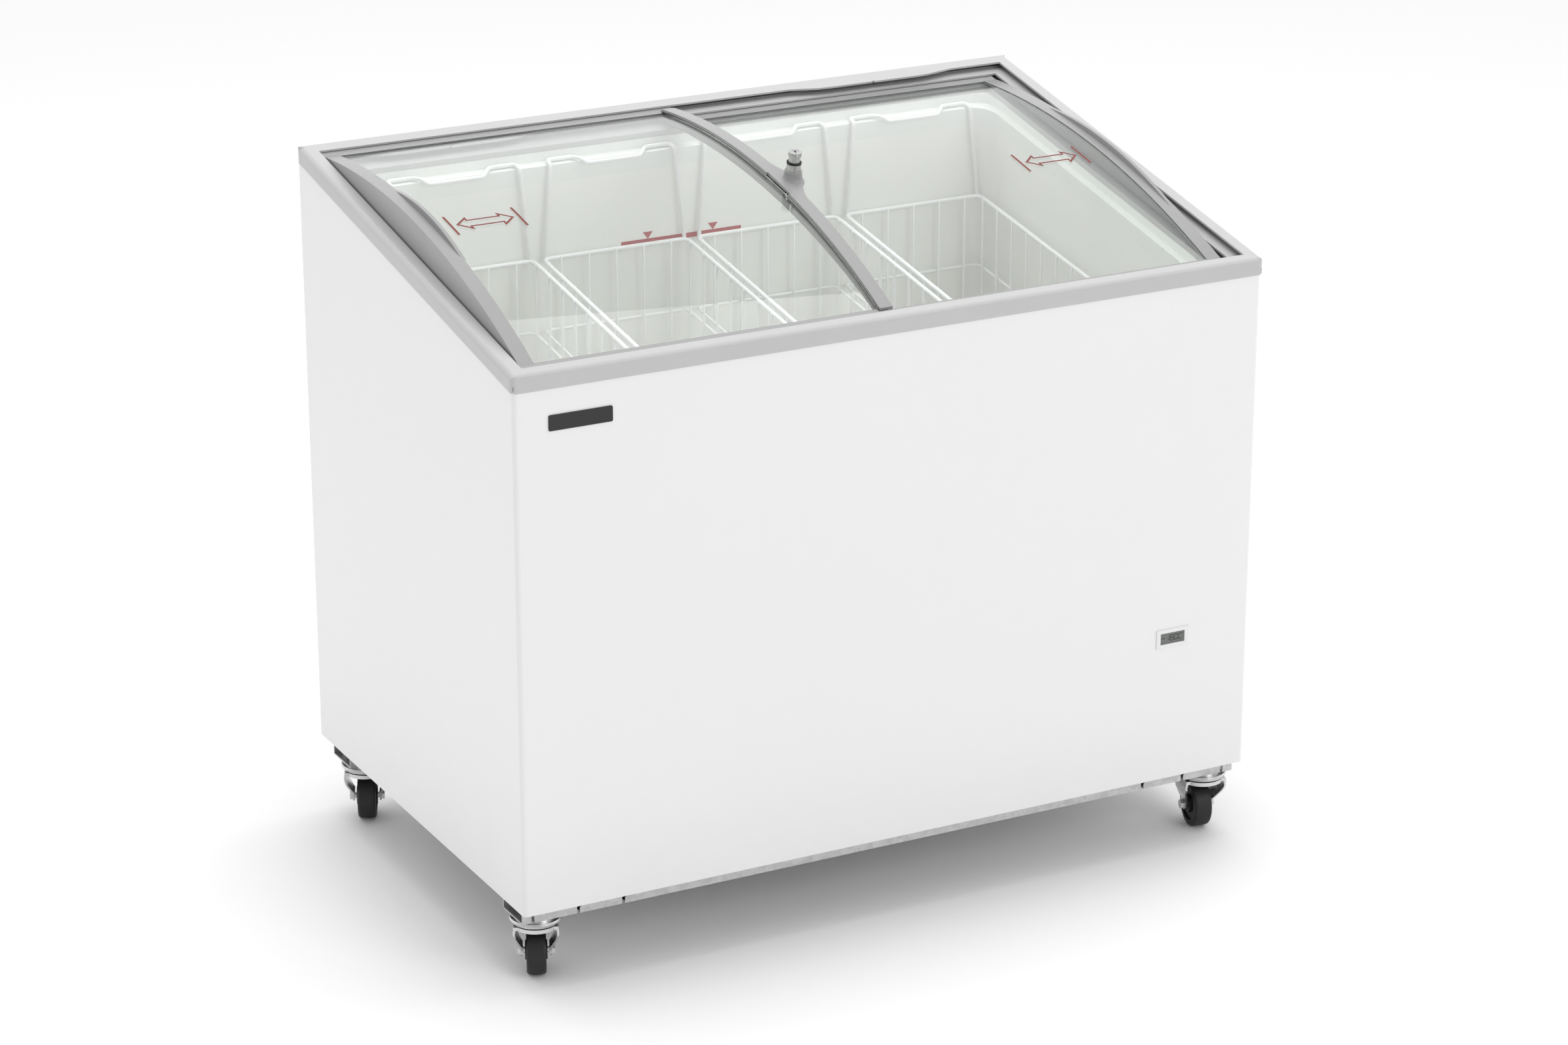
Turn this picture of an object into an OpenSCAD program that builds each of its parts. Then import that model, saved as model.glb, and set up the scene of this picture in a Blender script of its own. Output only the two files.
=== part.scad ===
// Display chest freezer: sloping top, two curved sliding glass lids, four hanging wire baskets, castors.
// Millimetres, +Z up, front faces -Y, origin on the floor at the middle of the footprint.

/* [Cabinet] */
// Width over the top rim
rim_w = 1020; // [900:1:1200]
// Depth over the top rim
rim_d = 640; // [600:1:700]
// Width of the steel cabinet
body_w = 1016; // [896:1:1196]
// Depth of the steel cabinet
body_d = 637; // [597:1:697]
// Height of the underside of the cabinet
base_z = 104; // [96:1:120]
// Height of the lid plane at the middle of the depth
mid_z = 838.8; // [780:0.1:900]
// Slope of the top, rear high
slope = 10.6; // [6:0.1:14]
// Radius of the cabinet's upright corners
body_r = 6; // [2:1:20]
// Thickness of the steel skin
skin = 1.2; // [0.8:0.1:2]

/* [Top rim] */
// Visible width of the side rails
side_lip = 20; // [16:1:26]
// Visible width of the rear rail, along the slope
rear_lip = 25; // [18:1:30]
// Visible width of the front rail, along the slope
front_lip = 16.7; // [14:0.1:26]
// Step from the upper lip to the lower lip, inward
lip_step = 12.5; // [10:0.5:20]
// Depth of the lower floor below the rim
floor2 = 19.5; // [18:0.5:24]
// Depth of the upper floor below the rim
floor1 = 9.7; // [8:0.1:12]

/* [Lids] */
// Radius of the left lid's glass
left_r = 1086; // [1000:1:1300]
// Radius of the right lid's glass
right_r = 1320; // [1100:1:1500]
// Thickness of the glass
glass_t = 4; // [3:0.5:6]
// Height of the left glass above the rim plane at its crown
left_crown = 36; // [30:1:45]
// Height of the right glass above the rim plane at its crown
right_crown = 16.5; // [12:0.5:28]

/* [Baskets] */
// Width of one basket
basket_w = 211; // [180:1:230]
// Length of one basket along its slope
basket_l = 490; // [440:1:500]
// Depth of one basket
basket_h = 190; // [120:5:240]
// Tilt of the baskets
basket_tilt = 8.5; // [0:0.5:12]
// Spacing of the baskets' centres
basket_pitch = 219; // [200:1:240]

/* [Castors] */
// Wheel diameter
wheel_d = 60; // [50:1:80]
// Wheel width
wheel_w = 24; // [18:1:30]
// Distance of the wheel behind its swivel axis
trail = 15; // [10:1:30]
// Sideways place of the swivel axes
castor_x = 474; // [440:1:480]
// Place of the front swivel axes
castor_front_y = -275; // [-290:1:-250]
// Place of the rear swivel axes
castor_rear_y = 252; // [240:1:290]

/* [Hidden] */
e = 0.01;
lip1_x = rim_w / 2 - side_lip;
rear_v = 325;
front_v = -326.4;
lip1_r = rear_v - rear_lip;
lip1_f = front_v + front_lip;
tank_x = 445;
tank_f = -253;
tank_r = 251;
lock_x = 4;
lock_v = -23;
bolt_x = -16.5;
bolt_v = -50;
room_x = 250;
room_top = 352;
screw_at = [[266.5, 120], [266.5, 340], [493.5, 120], [493.5, 340]];
castor_angles = [-24, -12, -25, -35];
castor_at = [[-castor_x, castor_front_y], [castor_x, castor_front_y],
  [-castor_x, castor_rear_y], [castor_x, castor_rear_y]];

// The lids and rails are drawn in the sloping frame: X across, Y up the slope, Z out of the top.
module tilted() {
  translate([0, 0, mid_z]) rotate([slope, 0, 0]) children();
}
// Everything between two levels of the sloping frame.
module slab(w0, w1) {
  tilted() translate([-700, -500, w0]) cube([1400, 1000, w1 - w0]);
}
// Upright prism with rounded corners, from z0 to z1.
module prism(x0, x1, y0, y1, z0, z1, r) {
  translate([0, 0, z0]) linear_extrude(z1 - z0) {
    translate([x0 + r, y0]) square([x1 - x0 - 2 * r, y1 - y0]);
    translate([x0, y0 + r]) square([x1 - x0, y1 - y0 - 2 * r]);
    for (x = [x0 + r, x1 - r], y = [y0 + r, y1 - r]) translate([x, y]) circle(r, $fn = 48);
  }
}
module box(x0, x1, y0, y1, z0, z1) {
  translate([x0, y0, z0]) cube([x1 - x0, y1 - y0, z1 - z0]);
}
// Rod with flat sides between two points.
module rod(a, b, d, n = 8) {
  v = b - a;
  l = norm(v);
  translate(a) rotate([0, acos(v[2] / l), atan2(v[1], v[0])]) cylinder(d = d, h = l, $fn = n);
}
// Rods through a list of points, with a ball of flat sides at each bend.
module wire(pts, d, n = 8) {
  for (i = [0 : len(pts) - 2]) {
    v = (pts[i + 1] - pts[i]) / norm(pts[i + 1] - pts[i]);
    a = i == 0 ? pts[i] : pts[i] - v * d * 0.3;
    b = i == len(pts) - 2 ? pts[i + 1] : pts[i + 1] + v * d * 0.3;
    rod(a, b, d, n);
  }
}

// ---- cabinet
module cabinet_shell() color("white") difference() {
  intersection() {
    prism(-body_w / 2, body_w / 2, -body_d / 2, body_d / 2 + 20, base_z, 960, body_r);
    slab(-900, -14);
  }
  box(-600, 600, body_d / 2, 400, 0, 1000);
  prism(-body_w / 2 + skin, body_w / 2 - skin, -body_d / 2 + skin, body_d / 2 + 40, base_z - 5, 970, body_r - skin);
  // seat of the side grille
  box(body_w / 2 - 5, body_w / 2 + 5, -150, 50, 150, 300);
  // window of the thermometer
  box(373, 414, -body_d / 2 - 5, -body_d / 2 + 5, 286.5, 306);
}
module rear_panel() color("gainsboro") difference() {
  intersection() {
    box(-body_w / 2 + skin, body_w / 2 - skin, body_d / 2 - 1, body_d / 2, base_z, 960);
    slab(-900, -14);
  }
  box(272, 488, body_d / 2 - 5, body_d / 2 + 5, 112, 344);
  for (p = screw_at) translate([p[0], body_d / 2 - 5, p[1]]) rotate([-90, 0, 0]) cylinder(d = 3.6, h = 10, $fn = 32);
}
module bottom_pan() color("silver") difference() {
  union() {
    intersection() {
      prism(-body_w / 2 + skin, body_w / 2 - skin, -body_d / 2 + skin, body_d / 2 + 20, base_z, base_z + 1,
        body_r - skin);
      box(-600, 600, -400, body_d / 2 - 1, 0, 200);
    }
  }
  // drain outlet, air inlet slots under the machine room
  translate([-300, 0, base_z - 5]) cylinder(d = 24, h = 20, $fn = 48);
  for (i = [0 : 7]) box(300, 470, -60 + i * 22, -50 + i * 22, base_z - 5, base_z + 5);
}
module tank_outer(t, z0) {
  // main tank, and the shelf over the machine room
  intersection() {
    union() {
      prism(-tank_x - t, 200 + t, tank_f - t, tank_r + t, 165 - t, 960, 30 + t);
      prism(-tank_x - t, tank_x + t, tank_f - t, tank_r + t, 400 - t, 960, 30 + t);
    }
    slab(-900, z0);
  }
}
module coil_rings(m) {
  for (z = [230, 320]) difference() {
    prism(-tank_x - 10 - m, 210 + m, tank_f - 10 - m, tank_r + 10 + m, z - 4 - m, z + 4 + m, 40);
    prism(-tank_x - 2, 202, tank_f - 2, tank_r + 2, z - 8, z + 8, 32);
  }
  for (z = [450, 540, 630]) difference() {
    prism(-tank_x - 10 - m, tank_x + 10 + m, tank_f - 10 - m, tank_r + 10 + m, z - 4 - m, z + 4 + m, 40);
    prism(-tank_x - 2, tank_x + 2, tank_f - 2, tank_r + 2, z - 8, z + 8, 32);
  }
}
module foam_insulation() color("khaki") difference() {
  intersection() {
    prism(-body_w / 2 + skin, body_w / 2 - skin, -body_d / 2 + skin, body_d / 2 - 1, base_z + 1, 960, body_r - skin);
    slab(-900, -22);
  }
  tank_outer(1.5, 100);
  // room for the collar above the tank
  intersection() {
    prism(-459, 459, -271, 268, 500, 960, 2);
    slab(-41, 100);
  }
  intersection() {
    prism(-460, 460, -272, 270.5, 500, 960, 1);
    slab(-27.3, 100);
  }
  box(room_x, 600, -400, 400, 0, room_top);
  coil_rings(0.3);
  translate([-300, 0, 90]) cylinder(d = 22.4, h = 90, $fn = 48);
}
module evaporator_coil() color("peru") coil_rings(0);
module inner_liner() color("white") difference() {
  tank_outer(1.5, -60);
  tank_outer(0, -50);
  translate([-300, 0, 150]) cylinder(d = 20.4, h = 30, $fn = 48);
}
// Plastic collar above the tank: upright band, sloping ledge that carries the baskets, band below.
module liner_collar() color("ghostwhite") difference() {
  intersection() {
    union() {
      intersection() {
        prism(-459, 459, -271, 268, 500, 960, 2);
        slab(-41, -27);
      }
      intersection() {
        prism(-tank_x - 1.5, tank_x + 1.5, tank_f - 1.5, tank_r + 1.5, 500, 960, 31.5);
        slab(-60, -40);
      }
    }
    slab(-60, -27);
  }
  intersection() {
    prism(-456, 456, -268, 265, 500, 960, 27);
    slab(-38, 0);
  }
  prism(-tank_x, tank_x, tank_f, tank_r, 500, 960, 30);
}

// ---- top rim: one section swept round, mitred at the corners
module side_section(a) {
  // s runs inward from the outer face, w up
  difference() {
    union() {
      polygon([[0, -21], [0, -7], [7, -7], [7, 0], [a + 34, 0], [a + 34, -27], [a + 31, -27], [a + 31, -22],
        [a, -22], [a, -13], [2, -13], [2, -21]]);
      intersection() {
        translate([7.2, -7.2]) circle(7.2, $fn = 48);
        translate([0, -8]) square([8.2, 8]);
      }
    }
    track_cuts(a);
  }
}
module track_cuts(a) {
  // open top inward of the upper lip, upper slot, step, lower slot, open top over the lower floor
  translate([a, -floor1]) square([60, 30]);
  translate([a - 9, -floor1]) square([30, floor1 - 2.5]);
  translate([a + lip_step, -floor2]) square([60, 30]);
  translate([a + 4, -floor2]) square([30, floor2 - floor1 - 2.5]);
}
module rear_section() {
  difference() {
    union() {
      polygon([[2.4, -21], [0, -7], [7, -7], [7, 0], [rear_lip + 34, 0], [rear_lip + 34, -27],
        [rear_lip + 31, -27], [rear_lip + 31, -22], [rear_lip, -22], [rear_lip, -13], [3.3, -13], [4.8, -21]]);
      intersection() {
        translate([7.4, -7]) circle(7, $fn = 48);
        translate([0, -8]) square([8.4, 8]);
      }
    }
    track_cuts(rear_lip);
  }
}
module front_section() {
  difference() {
    union() {
      polygon([[-3.9, -21], [-1.3, -7], [6, -7], [6, 0], [front_lip + 34, 0], [front_lip + 34, -27],
        [front_lip + 31, -27], [front_lip + 31, -22], [front_lip, -22], [front_lip, -13], [-0.8, -13], [-1.9, -21]]);
      intersection() {
        translate([5.9, -7.2]) circle(7.2, $fn = 48);
        translate([-2, -8]) square([8.9, 8]);
      }
    }
    track_cuts(front_lip);
  }
}
// Wedge of plan area that belongs to one rail, bounded by the mitres.
module wedge(points) {
  tilted() translate([0, 0, -60]) linear_extrude(90) polygon(points);
}
module footprint() {
  prism(-rim_w / 2, rim_w / 2, -rim_d / 2, rim_d / 2, 600, 960, 7);
}
// Hold-down flap: the lip widens in the middle of its run, with a small V notch.
module flap(x0, x1, v_edge, out, w_top) {
  m = (x0 + x1) / 2;
  translate([0, 0, w_top - 2.5]) linear_extrude(2.5) difference() {
    polygon([[x0, v_edge + e], [x0 + 40, v_edge - out * 0.9], [x0 + 60, v_edge - out], [x1 - 60, v_edge - out],
      [x1 - 40, v_edge - out * 0.9], [x1, v_edge + e], [x1, v_edge + 2], [x0, v_edge + 2]]);
    translate([m, v_edge - out]) rotate(45) square([3.2, 3.2], center = true);
  }
}
module rim_rear() color("silver") intersection() {
  union() {
    tilted() translate([-520, rear_v, 0]) rotate([90, 0, 90]) linear_extrude(1040) mirror([1, 0]) rear_section();
    tilted() flap(171, 415, lip1_r, 8, 0);
    tilted() flap(-441, -199, lip1_r - lip_step, 8, -floor1);
  }
  wedge([[-lip1_x + 60, lip1_r - 60], [-lip1_x - 60, lip1_r + 60], [lip1_x + 60, lip1_r + 60],
    [lip1_x - 60, lip1_r - 60]]);
  footprint();
}
module rim_front() color("silver") intersection() {
  tilted() translate([-520, front_v, 0]) rotate([90, 0, 90]) linear_extrude(1040) front_section();
  wedge([[-lip1_x + 60, lip1_f + 60], [-lip1_x - 60, lip1_f - 60], [lip1_x + 60, lip1_f - 60],
    [lip1_x - 60, lip1_f + 60]]);
  footprint();
}
module rim_side(s) {
  intersection() {
    tilted() translate([-s * rim_w / 2, 0, 0]) mirror([s < 0 ? 1 : 0, 0, 0]) rotate([90, 0, 0])
      translate([0, 0, -360]) linear_extrude(720) side_section(side_lip);
    tilted() translate([0, 0, -60]) linear_extrude(90) polygon([
      [-s * (lip1_x + 60), lip1_r + 60], [-s * (lip1_x - 60), lip1_r - 60],
      [-s * (lip1_x - 60), lip1_f + 60], [-s * (lip1_x + 60), lip1_f - 60]]);
    footprint();
  }
}
module rim_left() color("silver") rim_side(1);
module rim_right() color("silver") rim_side(-1);
module lid_bumpers() color("dimgray") tilted() {
  for (v = [-200, 200]) {
    box(-lip1_x - 8.9, -lip1_x + 1.6, v - 6, v + 6, -floor1, -4);
    box(lip1_x - 12.5 - 4.5, lip1_x - 4.1, v - 6, v + 6, -floor2, -14);
  }
}

// ---- lids, in the sloping frame
module arc_band(x0, x1, wc, r0, r1) {
  translate([x0, -5, wc]) rotate([0, 90, 0]) difference() {
    cylinder(r = r1, h = x1 - x0, $fn = 360);
    if (r0 > 0) translate([0, 0, -1]) cylinder(r = r0, h = x1 - x0 + 2, $fn = 360);
  }
}
module lid_zone(x0, x1, v0, v1, w0, w1) {
  intersection() {
    children();
    box(x0, x1, v0, v1, w0, w1);
  }
}
// Finger grip: a low ridge that swells in the middle of the end arch.
module grip(x0, x1, wc, r, rise, v0, v1) {
  h = (v1 - v0) / 2;
  rho = 1 / (1 / r + 2 * rise / (h * h));
  apex = wc + r + rise;
  difference() {
    lid_zone(x0, x1, v0 - 10, v1 + 10, apex - 20, apex + 5)
      translate([x0, (v0 + v1) / 2, apex - rho]) rotate([0, 90, 0]) cylinder(r = rho, h = x1 - x0, $fn = 240);
    arc_band(x0 - 1, x1 + 1, wc, 0, r - 1);
  }
}
module left_glass(m) {
  lid_zone(-484.8 - m, -18.8 + m, -299.5 - m, 289.5 + m, -8.1, 60)
    arc_band(-484.8 - m, -18.8 + m, left_crown - left_r, left_r - glass_t - m, left_r + m);
}
module left_lid_frame() color("darkgray") tilted() difference() {
  union() {
    box(-488, -2, 286, 307.5, -8.2, -3.2);
    box(-488, -2, -317.2, -296, -8.2, -3.2);
    // end arch with its upright face
    lid_zone(-488, -469, -305, 291, -8.2, 60) arc_band(-488, -469, left_crown - left_r, left_r - 6, left_r + 1.5);
    lid_zone(-488, -485, -305, 291, -8.2, 60) arc_band(-488, -485, left_crown - left_r, 0, left_r + 1.5);
    grip(-471, -466.5, left_crown - left_r, left_r + 1.5, 7, -95, 100);
    // meeting stile and its upright face
    lid_zone(-19.4, -2, -301, 291, -8.2, 60) arc_band(-19.4, -2, left_crown - left_r, left_r - 5, left_r + 5);
    difference() {
      lid_zone(-14, -11.5, -301, 291, -8.2, 60) arc_band(-14, -11.5, left_crown - left_r, 0, left_r - 3);
      arc_band(-21, -10, right_crown - right_r, 0, right_r + 6);
    }
    lock_boss();
  }
  left_glass(0.1);
  translate([lock_x, lock_v, 20]) cylinder(d = 17.2, h = 60, $fn = 48);
  // room for the lock's arm and bolt, and a shallow bay in the stile's edge beside the lock
  lock_arm(4.2, 0, 33.2);
  box(-20, -14.2, -53, -47, 0, 37);
  box(-15, -10, -56, -34, 0, 33.2);
  box(-21, -17.6, -60, 2, 36.05, 60);
}
// Flat bar from the plunger out to the bolt, half-width r, between two levels.
module lock_arm(r, w0, w1) {
  translate([lock_x, lock_v, w0]) rotate(-127.2) translate([0, -r, 0]) cube([28.8 + r, 2 * r, w1 - w0]);
  translate([lock_x, lock_v, w0]) cylinder(r = r, h = w1 - w0, $fn = 48);
  translate([bolt_x, bolt_v, w0]) cylinder(r = r - 1.2, h = w1 - w0, $fn = 48);
}
module lock_boss() {
  difference() {
    union() {
      intersection() {
        translate([0, 0, 20]) linear_extrude(30) {
          polygon([[-8, 52], [-2.5, 46], [-1, 28], [2, 12], [7, -2], [12, -10], [12, -36], [7, -46], [2, -58],
            [-1, -70], [-2.5, -82], [-8, -86]]);
        }
        arc_band(-9, 20, left_crown - left_r, 0, left_r + 4.2);
      }
      // flared collar round the lock
      translate([lock_x, lock_v, 0]) rotate_extrude($fn = 96) polygon([[0, 24], [8.8, 24], [14.6, 33.5],
        [15.2, 36.5], [14.6, 39.4], [12.9, 41.4], [11.9, 43.6], [11.4, 46.5], [11, 51.9], [10.4, 52.5], [0, 52.5]]);
    }
    arc_band(-25, 25, right_crown - right_r, 0, right_r + 8);
  }
}
module left_lid_glass() color([0.8, 0.9, 0.9, 0.4]) tilted() left_glass(0);
module left_lid_glides() color("white") tilted() {
  for (x = [-470, -60], v = [-316, 299]) box(x, x + 40, v, v + 7, -9.4, -8.2);
}
module right_glass(m) {
  lid_zone(-8 - m, 468.8 + m, -287.5 - m, 277.5 + m, -17.9, 60)
    arc_band(-8 - m, 468.8 + m, right_crown - right_r, right_r - glass_t - m, right_r + m);
}
module right_lid_frame() color("darkgray") tilted() difference() {
  union() {
    box(-14, 472, 274, 294.5, -18, -12.9);
    box(-14, 472, -304.2, -284, -18, -12.9);
    lid_zone(453, 472, -293, 278.5, -18, 60) arc_band(453, 472, right_crown - right_r, right_r - 6, right_r + 1);
    lid_zone(469, 472, -293, 278.5, -18, 60) arc_band(469, 472, right_crown - right_r, 0, right_r + 1);
    grip(466, 470.5, right_crown - right_r, right_r + 1, 7, -165, 140);
    // meeting stile, whose upright face the lock's bolt drops beside
    lid_zone(-14, 3, -289, 278.5, -18, 60) arc_band(-14, 3, right_crown - right_r, right_r - 5, right_r + 4);
  }
  right_glass(0.1);
}
module right_lid_glass() color([0.8, 0.9, 0.9, 0.4]) tilted() right_glass(0);
module right_lid_glides() color("white") tilted() {
  for (x = [10, 420], v = [-303, 286.5]) box(x, x + 40, v, v + 7, -19.2, -18);
}
// Red printed sliding signs: a pointed bar with a stop at each end.
module arrow_sign(xc, vc, w, r, wc) {
  intersection() {
    translate([xc, vc, 0]) linear_extrude(60) difference() {
      union() {
        for (s = [-1, 1]) translate([s * 44.5 - 1.5, -25]) square([3, 50]);
        polygon([[-38, 0], [-20, 17], [-20, 9], [20, 9], [20, 17], [38, 0], [20, -17], [20, -9], [-20, -9], [-20, -17]]);
      }
      polygon([[-34, 0], [-22.6, 10.8], [-22.6, 6.4], [22.6, 6.4], [22.6, 10.8], [34, 0], [22.6, -10.8],
        [22.6, -6.4], [-22.6, -6.4], [-22.6, -10.8]]);
    }
    arc_band(xc - 60, xc + 60, wc, r, r + 0.15);
  }
}
module left_lid_arrow() color("firebrick") tilted()
  arrow_sign(-404.7, -11.8, left_crown, left_r, left_crown - left_r);
module right_lid_arrow() color("firebrick") tilted()
  arrow_sign(379.1, -22, right_crown, right_r, right_crown - right_r);

// ---- push lock on the meeting stile
module on_lock() {
  tilted() translate([lock_x, lock_v, 0]) children();
}
module lock_housing() color("lightgray") on_lock() difference() {
  union() {
    translate([0, 0, 33.4]) cylinder(d = 17, h = 19.6, $fn = 64);
    translate([0, 0, 52.5]) cylinder(d = 18, h = 9.5, $fn = 64);
    translate([0, 0, 61.5]) cylinder(d = 18.8, h = 2, $fn = 64);
  }
  translate([0, 0, 40]) cylinder(d = 14.8, h = 30, $fn = 64);
  translate([0, 0, 20]) cylinder(d = 8.1, h = 30, $fn = 48);
}
module lock_plunger() color("lightgray") difference() {
  union() {
    on_lock() {
      translate([0, 0, 29]) cylinder(d = 8, h = 25, $fn = 48);
      translate([0, 0, 50]) cylinder(d = 14.7, h = 24, $fn = 64);
      translate([0, 0, 72]) cylinder(d = 16.6, h = 2.4, $fn = 64);
      translate([0, 0, 74]) cylinder(d = 15.2, h = 1.4, $fn = 64);
      translate([0, 0, 75.2]) cylinder(d = 16.6, h = 2, $fn = 64);
    }
    tilted() {
      lock_arm(3.2, 29, 32);
      translate([bolt_x, bolt_v, 25]) cylinder(d = 4, h = 11.4, $fn = 48);
    }
  }
  on_lock() translate([0, 0, 60]) cylinder(d = 9.1, h = 20, $fn = 48);
}
module lock_core() color("gray") on_lock() difference() {
  translate([0, 0, 60.2]) cylinder(d = 9, h = 16.6, $fn = 48);
  translate([-0.6, -3, 66]) cube([1.2, 6, 20]);
  translate([0, 0, 74]) cylinder(d = 3.4, h = 6, $fn = 32);
}

// ---- baskets
function at_basket(xc, x, y, z) = [xc + x, y, 692 + y * tan(basket_tilt) + z];
module basket(n) {
  xc = (n - 1.5) * basket_pitch;
  hw = basket_w / 2 - 3;
  hl = basket_l / 2 - 2.7;
  // rim, waist and bottom hoops
  for (q = [[0, 6], [-basket_h * 0.5, 4], [-basket_h, 4]]) {
    d = q[1];
    for (s = [-1, 1]) {
      rod(at_basket(xc, s * hw, -hl - d * 0.1, q[0]), at_basket(xc, s * hw, hl + d * 0.1, q[0]), d);
      rod(at_basket(xc, -hw - d * 0.1, s * hl, q[0]), at_basket(xc, hw + d * 0.1, s * hl, q[0]), d);
    }
  }
  // cross wires: down one side, under the floor, up the other
  for (i = [-6 : 6]) {
    y = i * 38;
    for (s = [-1, 1]) rod(at_basket(xc, s * hw, y, 0), at_basket(xc, s * hw, y, -basket_h), 3, 4);
    rod(at_basket(xc, -hw - 1, y, -basket_h), at_basket(xc, hw + 1, y, -basket_h), 3, 4);
  }
  for (i = [-2 : 2]) {
    x = i * 39;
    for (s = [-1, 1]) rod(at_basket(xc, x, s * hl, 0), at_basket(xc, x, s * hl, -basket_h), 3, 4);
    rod(at_basket(xc, x, -hl - 1, -basket_h), at_basket(xc, x, hl + 1, -basket_h), 3, 4);
  }
  // rear and front hangers over the ledge, each with a lowered grip
  hanger(xc, 259, 245, hl, 852, 850.6, 729, -1, tank_r - 3.5, 851.6);
  hanger(xc, -258, -248.8, -hl, 755.6, 757.4, 656, 1, tank_f + 3.5, 757);
}
module hanger(xc, y_out, y_in, y_rim, z_top, z_in, z_rim, s, y_mid, z_mid) {
  for (m = [-1, 1]) {
    wire([[xc + m * 99, y_rim, z_rim - 1], [xc + m * 88, y_in, z_in], [xc + m * 87, y_out, z_top]], 5.5);
    wire([[xc + m * 87, y_out, z_top], [xc + m * 52, y_out, z_top], [xc + m * 44, y_mid, z_mid],
      [xc + m * 38, y_in + s * 2, z_top - 6], [xc, y_in + s * 2, z_top - 6]], 5.5);
  }
}
module basket_1() color("white") basket(0);
module basket_2() color("white") basket(1);
module basket_3() color("white") basket(2);
module basket_4() color("white") basket(3);

// ---- front panel items
module badge_plate() color("black")
  translate([-423.7, -body_d / 2, 716.1]) rotate([90, 0, 0]) linear_extrude(1.2) {
    square([77.4, 19.2], center = true);
    square([81.4, 15.2], center = true);
    for (x = [-38.7, 38.7], y = [-7.6, 7.6]) translate([x, y]) circle(2, $fn = 32);
  }
module display_bezel() color("white")
  translate([393.5, -body_d / 2, 296.1]) rotate([90, 0, 0]) difference() {
    union() {
      translate([-23.6, -12.4, 0]) cube([47.2, 24.8, 1.4]);
      translate([-20.3, -9.6, -6]) cube([40.6, 19.2, 6.5]);
    }
    translate([-17.9, -7.5, -10]) cube([35.8, 15, 20]);
  }
module display_module() color("dimgray") {
  box(375.7, 411.3, -body_d / 2 + 0.4, -body_d / 2 + 7, 288.7, 303.5);
  box(373.5, 413.5, -body_d / 2 + 6.2, -body_d / 2 + 16, 287, 305.5);
}
module load_line_mark() color("firebrick") {
  box(-97, 76, tank_r - 0.35, tank_r, 726.5, 733);
  translate([0, tank_r, 0]) rotate([90, 0, 0]) linear_extrude(0.35) {
    polygon([[-66, 742], [-52, 742], [-59, 733 - e]]);
    polygon([[28, 742], [42, 742], [35, 733 - e]]);
  }
}
module drain_plug() color("white") translate([-300, 0, 0]) {
  translate([0, 0, 165.3]) cylinder(d = 30, h = 4, $fn = 48);
  translate([0, 0, 145]) cylinder(d = 18.1, h = 21, $fn = 48);
  translate([0, 0, 169]) cylinder(d = 8, h = 12, $fn = 32);
}
module drain_tube() color("white") difference() {
  translate([-300, 0, base_z - 6]) cylinder(d = 22, h = 163.4 - base_z + 6, $fn = 48);
  translate([-300, 0, base_z - 10]) cylinder(d = 18.2, h = 100, $fn = 48);
}

// ---- base rails and castors
module base_rail(y0, y1, face, pin_y) {
  difference() {
    union() {
      box(-503, 503, y0, y1, 86, 88);
      box(-503, 503, y0, y0 + 2, 86, base_z);
      box(-503, 503, y1 - 2, y1, 86, base_z);
    }
    // punched holes near both ends of the outer flange
    for (s = [-1, 1]) {
      for (h = [[488, 96.5, 4], [458, 97, 4], [428, 96.5, 6.4], [409, 98.5, 4], [398, 96.5, 4], [368, 96.5, 6.4],
        [359, 98.5, 3.6]])
        translate([s * h[0], face, h[1]]) rotate([90, 0, 0]) cylinder(d = h[2], h = 10, center = true, $fn = 32);
      for (x = [488, 428, 368]) box(s * x - 3, s * x + 1, face - 5, face + 5, 80, 96.5);
    }
    for (s = [-1, 1]) translate([s * castor_x, pin_y, 70]) cylinder(d = 10.2, h = 30, $fn = 48);
  }
}
module front_base_rail() color("silver") base_rail(-301, -245, -300, castor_front_y);
module rear_base_rail() color("silver") base_rail(233, 289, 288, castor_rear_y);
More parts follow.
